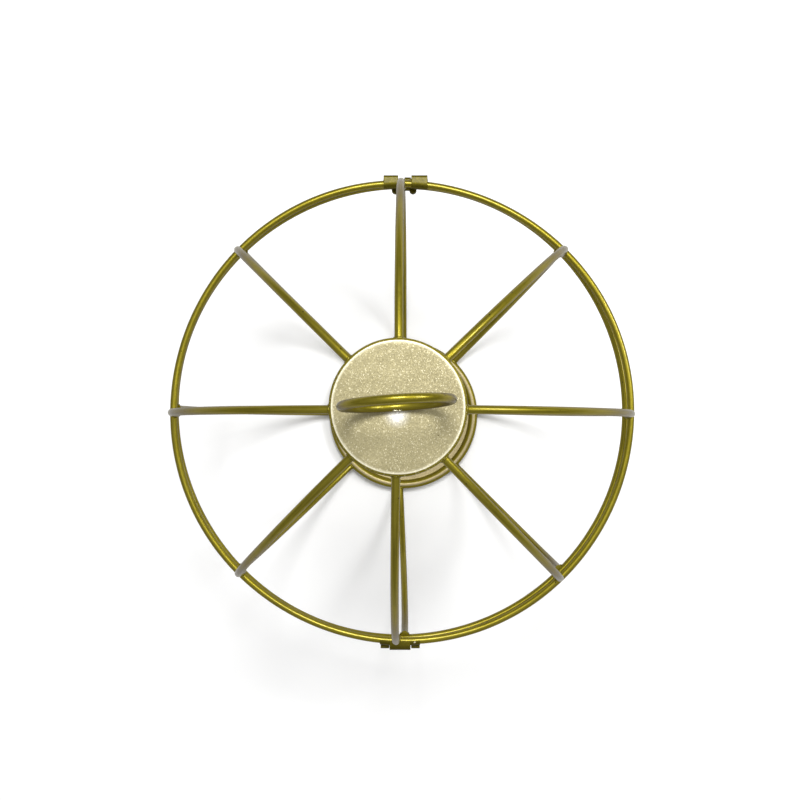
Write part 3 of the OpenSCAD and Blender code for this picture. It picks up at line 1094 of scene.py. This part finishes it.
def ring_crease(arc, ring, sign):
    """The line where a rib meets the ring's wire: up one side of the rib, over and down the other.
    sign is 1 for the upper half, whose ribs come from above."""
    end = on_arc(arc, arc.low if sign > 0 else arc.high)
    flat = Vector((end.x - ring.centre.x, end.y - ring.centre.y, 0))
    spoke = flat.normalized()
    side = UP.cross(spoke)
    inset = ring.radius - flat.length
    first, last = math.acos((WIRE - inset) / WIRE), math.radians(WELD_END)
    turns = [first + (last - first) * i / 14 for i in range(15)]
    line = []
    for half, order in ((1, reversed(turns)), (-1, turns[1:])):
        for turn in order:
            out, rise = WIRE * math.cos(turn), WIRE * math.sin(turn)
            off = math.sqrt(max(WIRE**2 - (out + inset) ** 2, 0))
            line.append(ring.centre + spoke * (ring.radius + out) + UP * sign * rise + side * half * off)
    return line


def butt_crease(arc, angle, depth, into):
    """The closed line where a rib's wire meets a surface. depth(point) is the distance outside it,
    and into is 1 where it lies towards greater elevations."""
    base, way = on_arc(arc, angle), tangent(arc, angle) * into
    side = UP.cross(arc.out)
    other = way.cross(side)
    shifts = [SEARCH_STEP * k for k in range(-SEARCH, SEARCH + 1)]
    line = []
    for i in range(BUTT_STEPS):
        turn = FULL * i / BUTT_STEPS
        start = base + WIRE * (math.cos(turn) * side + math.sin(turn) * other)
        depths = [depth(start + way * shift) for shift in shifts]
        met = next((k for k, gap in enumerate(depths) if gap <= 0), depths.index(min(depths)))
        line.append(start + way * shifts[met])
    return line


def beaded(line, seed, closed=False):
    """A weld's path for the wire tree: as uneven as a hand-laid bead, and thin at its open ends."""
    path = []
    for i, place in enumerate(line):
        uneven = noise.noise(place * UNEVEN_SCALE + Vector((seed, 0, 0)))
        taper = 1.0 if closed else min(1.0, THIN + THICKEN * min(i, len(line) - 1 - i))
        path.append((place, (1 + UNEVEN * uneven) * taper, 1.0))
    return path


def nugget_mesh(name, radius):
    """A round weld nugget, flat below and domed above, one radius across its foot."""
    outline = [(0, -0.4 * radius), (0.8 * radius, -0.4 * radius), (0.98 * radius, -0.1 * radius)]
    angles = np.linspace(0.05, math.pi / 2, 9)
    outline += [(radius * math.cos(a), 0.55 * radius * math.sin(a)) for a in angles]
    outline[-1] = (0, outline[-1][1])
    return lathe(name, outline, (0, 0), 24)


# The nuggets at the loop's foot: along, across and up from it in mm, and their shape. The first
# two lie on the loop's wire as bright slivers, a painted highlight; the other two are solder on the cap.
NUGGETS_AND_GLINTS = (
    (-0.95, -1.15, 2.1, (0.95, 0.24, 0.4)),
    (0.55, -1.2, 2.0, (0.4, 0.3, 0.4)),
    (1.6, 1.2, 0.1, (0.7, 0.5, 0.5)),
    (-0.8, 1.3, 0.1, (0.9, 0.6, 0.5)),
)
NUGGET_RADIUS = 1.2 * MM


class WIREORB_OT_welds(bpy.types.Operator):
    """Lays a weld at every joint of the wires, the cap, the dish, the loop and the latch"""

    bl_idname = "wireorb.welds"
    bl_label = "Welds"

    def execute(self, context):
        sizes = context.scene.wire_orb_sizes

        def off_skirt(point):
            return math.hypot(point.x - CAP_MIDDLE.x, point.y - CAP_MIDDLE.y) - CAP_RADIUS

        def off_rim(point):
            out = math.hypot(point.x, point.y) - (DISH_RADIUS - RIM_RADIUS)
            return math.hypot(out, point.z - (DISH_HIGH.z - RIM_RADIUS)) - RIM_RADIUS

        halves = (
            ("upper", UPPER_BODY, UPPER, 1, CAP_RADIUS, off_skirt),
            ("lower", LOWER_BODY, LOWER, -1, DISH_RADIUS - RIM_RADIUS / 2, off_rim),
        )
        for half, body, ring, sign, radius, depth in halves:
            arcs = [rib_arc(name) for name in rib_names(half)]
            open_lines = [beaded(ring_crease(arc, ring, sign), i + sign) for i, arc in enumerate(arcs)]
            self.lay(context, f"{half}_ring_welds", body, open_lines, sizes.weld, False)
            closed_lines = []
            for i, arc in enumerate(arcs):
                angle = math.acos(radius / arc.radius) * sign
                crease = butt_crease(arc, angle, depth, sign)
                closed_lines.append(beaded(crease, 20 + i + sign, closed=True))
            self.lay(context, f"{half}_plate_welds", body, closed_lines, sizes.weld * 0.8, True)
        self.nuggets(context)
        return {"FINISHED"}

    def lay(self, context, name, body, paths, radius, closed):
        """Lays beads of weld along paths, as one piece of the body."""
        made = path_object(name, paths, closed)
        uneven = {"Waviness": 0.12 * MM, "Wave scale": 700.0, "Seed": 4.0}
        changes = {"Wire radius": radius, "Sides": 12, **uneven}
        draw_wire(context, made, body, changes, paint="weld_paint")

    def nuggets(self, context):
        """Nuggets of bare solder at the loop's foot and on the latch. Two of those at the foot lie on the
        loop's wire as a painted highlight.
        """
        rng = random.Random(11)
        centre, side, _, _ = loop_frame()
        foot = Vector((centre.x, centre.y - 0.8 * MM, CAP_HIGH.z))
        across = UP.cross(side).normalized()
        points = []
        for along, off, rise, shape in NUGGETS_AND_GLINTS:
            place = foot + side * along * MM + across * off * MM + UP * rise * MM
            points.append((place, (0, 0, rng.uniform(-0.2, 0.2)), shape))
        front = UPPER.centre.y - UPPER.radius
        spot = (span_of("latch_tab")[1] - 2.3 * MM, front - 0.3 * MM, UPPER.centre.z + 1.9 * MM)
        points.append((spot, (0, 0, 0.2), (0.5, 0.3, 0.35)))
        bead = new_object("bead", nugget_mesh("nugget", NUGGET_RADIUS))
        made = marked_object("upper_nuggets", points, [], "FLOAT_VECTOR", ("turn", "size"))
        values = {"Bead": bead, "Roughness": 0.16 * MM, "Grain scale": 900.0, "Seed": 12.0}
        grow(made, bead_tree(), {**values, "Material": material("solder", context)})
        bpy.data.objects.remove(bead)
        hand_over(made, UPPER_BODY)


# ---- studio ----


# The sky's glow: from and to which height, and from and to what strength; and what the camera sees of it.
GLOW, BACKDROP = (-0.3, 0.95, 0.03, 0.68), 0.85
FLOOR_REACH = 40.0
LIGHT_WIDTH = 0.38
LIGHTS = (("key", (0.06, 0.5, 1.24), 10.0), ("fill", (0.85, 0.35, 1.0), 6.5))
CAMERA_AT = (7.1 * MM, -8.18 * MM, EQUATOR + 431.78 * MM)
SENSOR, LENS, SHIFT = 36.0, 45.96, (-0.0218, 0.0384)


class WIREORB_OT_stage(bpy.types.Operator):
    """Sets up the pale floor, the soft lights and the camera above the orb"""

    bl_idname = "wireorb.stage"
    bl_label = "Studio"

    def execute(self, context):
        scene = context.scene
        scene.view_settings.view_transform = "Standard"
        self.floor(context)
        self.world(scene)
        for name, place, power in LIGHTS:
            self.light(name, place, power)
        self.camera(scene)
        return {"FINISHED"}

    def floor(self, context):
        """The floor, far larger than the view."""
        corners = [(FLOOR_REACH * x, FLOOR_REACH * y, 0) for x, y in ((-1, -1), (1, -1), (1, 1), (-1, 1))]
        mesh = bpy.data.meshes.new("studio_floor")
        mesh.from_pydata(corners, [], [(0, 1, 2, 3)])
        made = new_object("studio_floor", mesh)
        mesh.transform(Matrix.Translation((0, 0, DISH_LOW.z - 0.02 * MM)))
        dress(made, floor_paint(context))
        made.visible_diffuse = False

    def world(self, scene):
        """Pale surroundings, whose light comes mostly from overhead."""
        world = bpy.data.worlds.new("studio")
        scene.world = world
        world.use_nodes = True
        tree = world.node_tree
        back = next(n for n in tree.nodes if n.type == "BACKGROUND")
        look = add_node(tree, "ShaderNodeTexCoord").outputs["Generated"]
        height = add_node(tree, "ShaderNodeSeparateXYZ", {0: look}).outputs["Z"]
        glow = ramp_of(tree, height, *GLOW)
        seen = add_node(tree, "ShaderNodeLightPath").outputs["Is Camera Ray"]
        tree.links.new(ramp_of(tree, seen, 0.0, 1.0, glow, BACKDROP), back.inputs["Strength"])
        back.inputs["Color"].default_value = (1, 1, 1, 1)

    def light(self, name, place, power):
        """A soft square light that faces the orb."""
        data = bpy.data.lights.new(name, "AREA")
        data.shape = "SQUARE"
        data.size = LIGHT_WIDTH
        data.energy = power
        made = new_object(name, data)
        made.location = place
        made.rotation_euler = (Vector((0, 0, EQUATOR)) - Vector(place)).to_track_quat("-Z", "Y").to_euler()

    def camera(self, scene):
        """A camera that looks straight down on the orb, a little off its axis, close enough for
        strong perspective."""
        data = bpy.data.cameras.new("camera")
        data.sensor_width, data.lens = SENSOR, LENS
        data.shift_x, data.shift_y = SHIFT
        made = new_object("camera", data)
        made.location = CAMERA_AT
        scene.camera = made


# ---- panel and registration ----


class WIREORB_PT_panel(bpy.types.Panel):
    """Lists the pieces of the wire orb"""

    bl_idname = "WIREORB_PT_panel"
    bl_label = "Wire Orb"
    bl_space_type = "VIEW_3D"
    bl_region_type = "UI"
    bl_category = "Wire Orb"

    def draw(self, context):
        column = self.layout.column(align=True)
        for operator in OPERATORS:
            column.operator(operator.bl_idname, text=operator.bl_label)
        for group in (context.scene.wire_orb_sizes, context.scene.wire_orb_colours):
            box = self.layout.box()
            for key in group.__annotations__:
                box.prop(group, key)


OPERATORS = (
    WIREORB_OT_ribs,
    WIREORB_OT_rings,
    WIREORB_OT_loop,
    WIREORB_OT_cap,
    WIREORB_OT_dish,
    WIREORB_OT_hinge,
    WIREORB_OT_latch,
    WIREORB_OT_welds,
    WIREORB_OT_stage,
)
CLASSES = (WireOrbSizes, WireOrbColours, *OPERATORS, WIREORB_PT_panel)


def register():
    """Registers the add-on's classes and properties."""
    for cls in CLASSES:
        bpy.utils.register_class(cls)
    bpy.types.Scene.wire_orb_sizes = bpy.props.PointerProperty(type=WireOrbSizes)
    bpy.types.Scene.wire_orb_colours = bpy.props.PointerProperty(type=WireOrbColours)


def unregister():
    """Removes the add-on's classes and properties."""
    del bpy.types.Scene.wire_orb_colours
    del bpy.types.Scene.wire_orb_sizes
    for cls in reversed(CLASSES):
        bpy.utils.unregister_class(cls)


def main():
    """Builds every piece and the studio."""
    register()
    for operator in OPERATORS:
        group, name = operator.bl_idname.split(".")
        if getattr(getattr(bpy.ops, group), name)() != {"FINISHED"}:
            raise RuntimeError(f"{operator.bl_idname} didn't finish")


if __name__ == "__main__":
    main()
